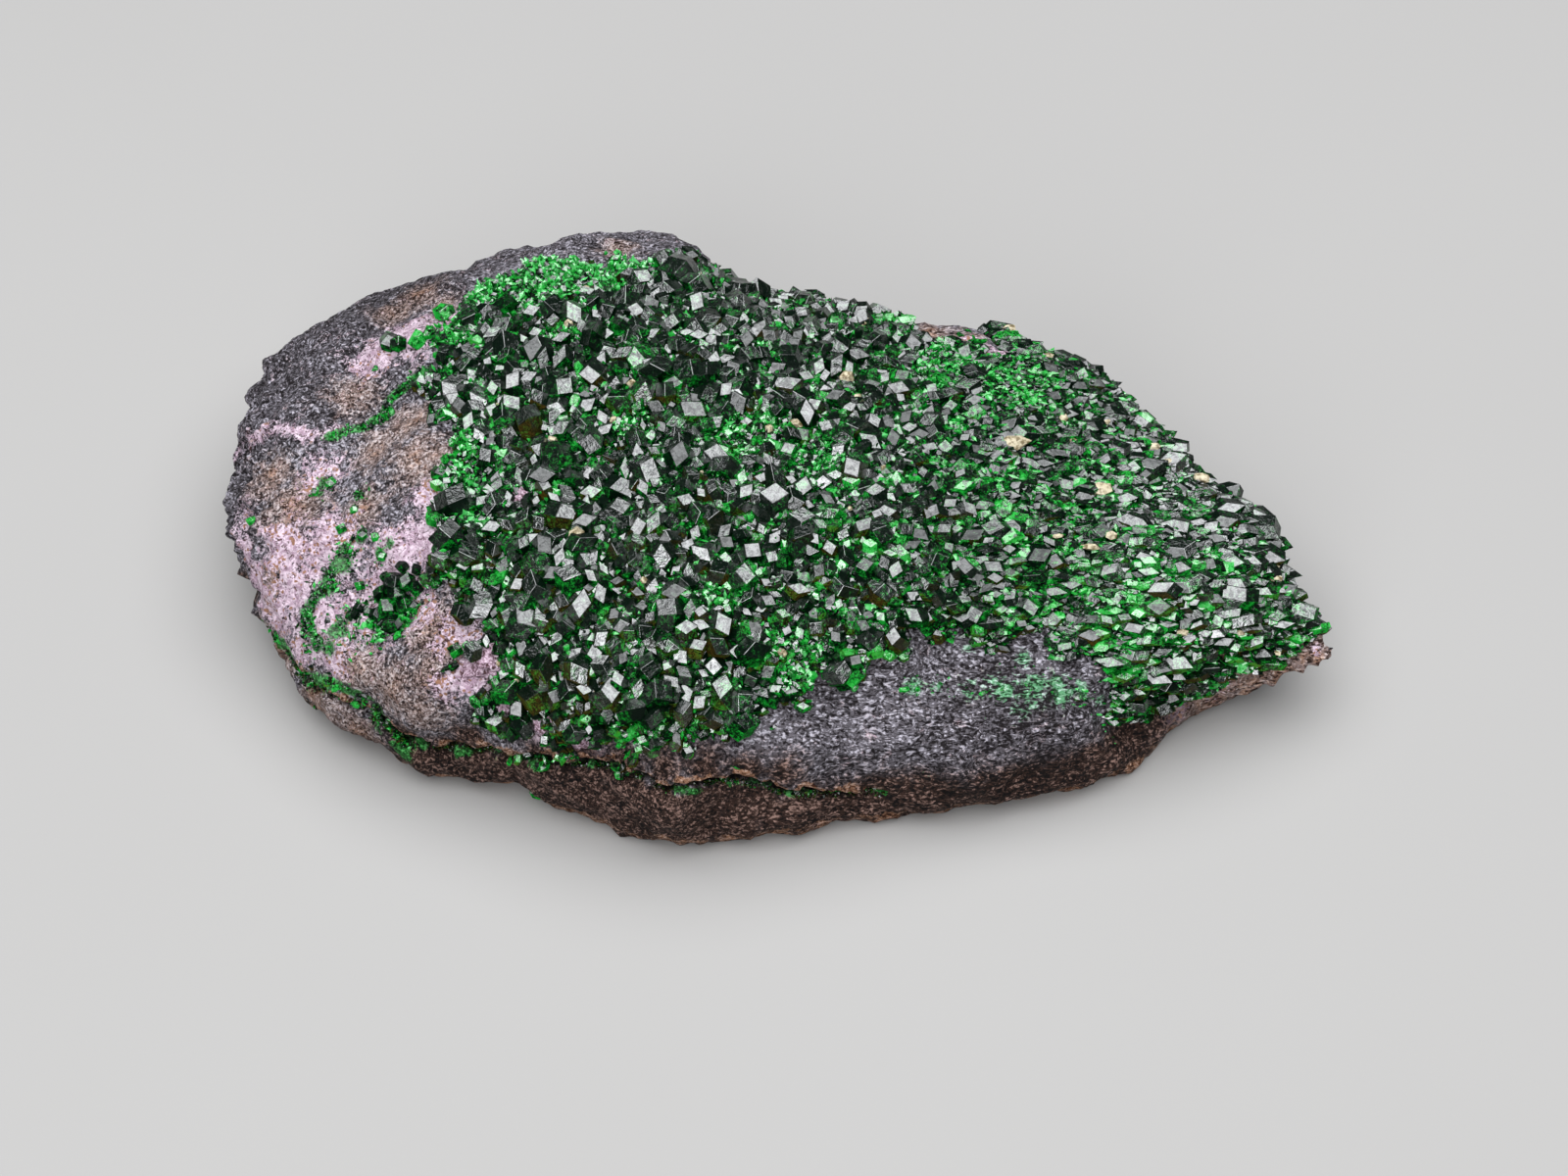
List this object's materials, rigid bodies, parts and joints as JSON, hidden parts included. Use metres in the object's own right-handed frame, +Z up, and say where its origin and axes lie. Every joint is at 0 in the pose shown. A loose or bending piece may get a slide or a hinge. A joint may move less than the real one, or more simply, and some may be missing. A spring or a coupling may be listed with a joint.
{
  "type": "mineral specimen",
  "caption": "Rounded dark stone, pointed at one end, with a dense crust of small green garnet crystals on top and a thin crystal vein in a crack along the front.",
  "frame": {"origin": "centre of the specimen's plan box, on the surface that it rests on", "axes": "+X along the specimen towards its pointed end, +Y towards its back, +Z up"},
  "size_m": [0.0796, 0.05, 0.0218],
  "materials": {
    "chromite": "rough broken stone, dark grey, with lilac and rusty patches",
    "uvarovite": "glossy dark green crystal faces"
  },
  "bodies": {
    "root": {"chromite_matrix": "chromite", "uvarovite_crust": "uvarovite", "vein_upper": "uvarovite", "cluster_left": "uvarovite", "trail_left": "uvarovite", "crystal_upper_left": "uvarovite", "crystal_upper_middle": "uvarovite", "crystal_upper_back": "uvarovite", "vein_left": "uvarovite", "vein_front": "uvarovite"}
  },
  "joints": []
}
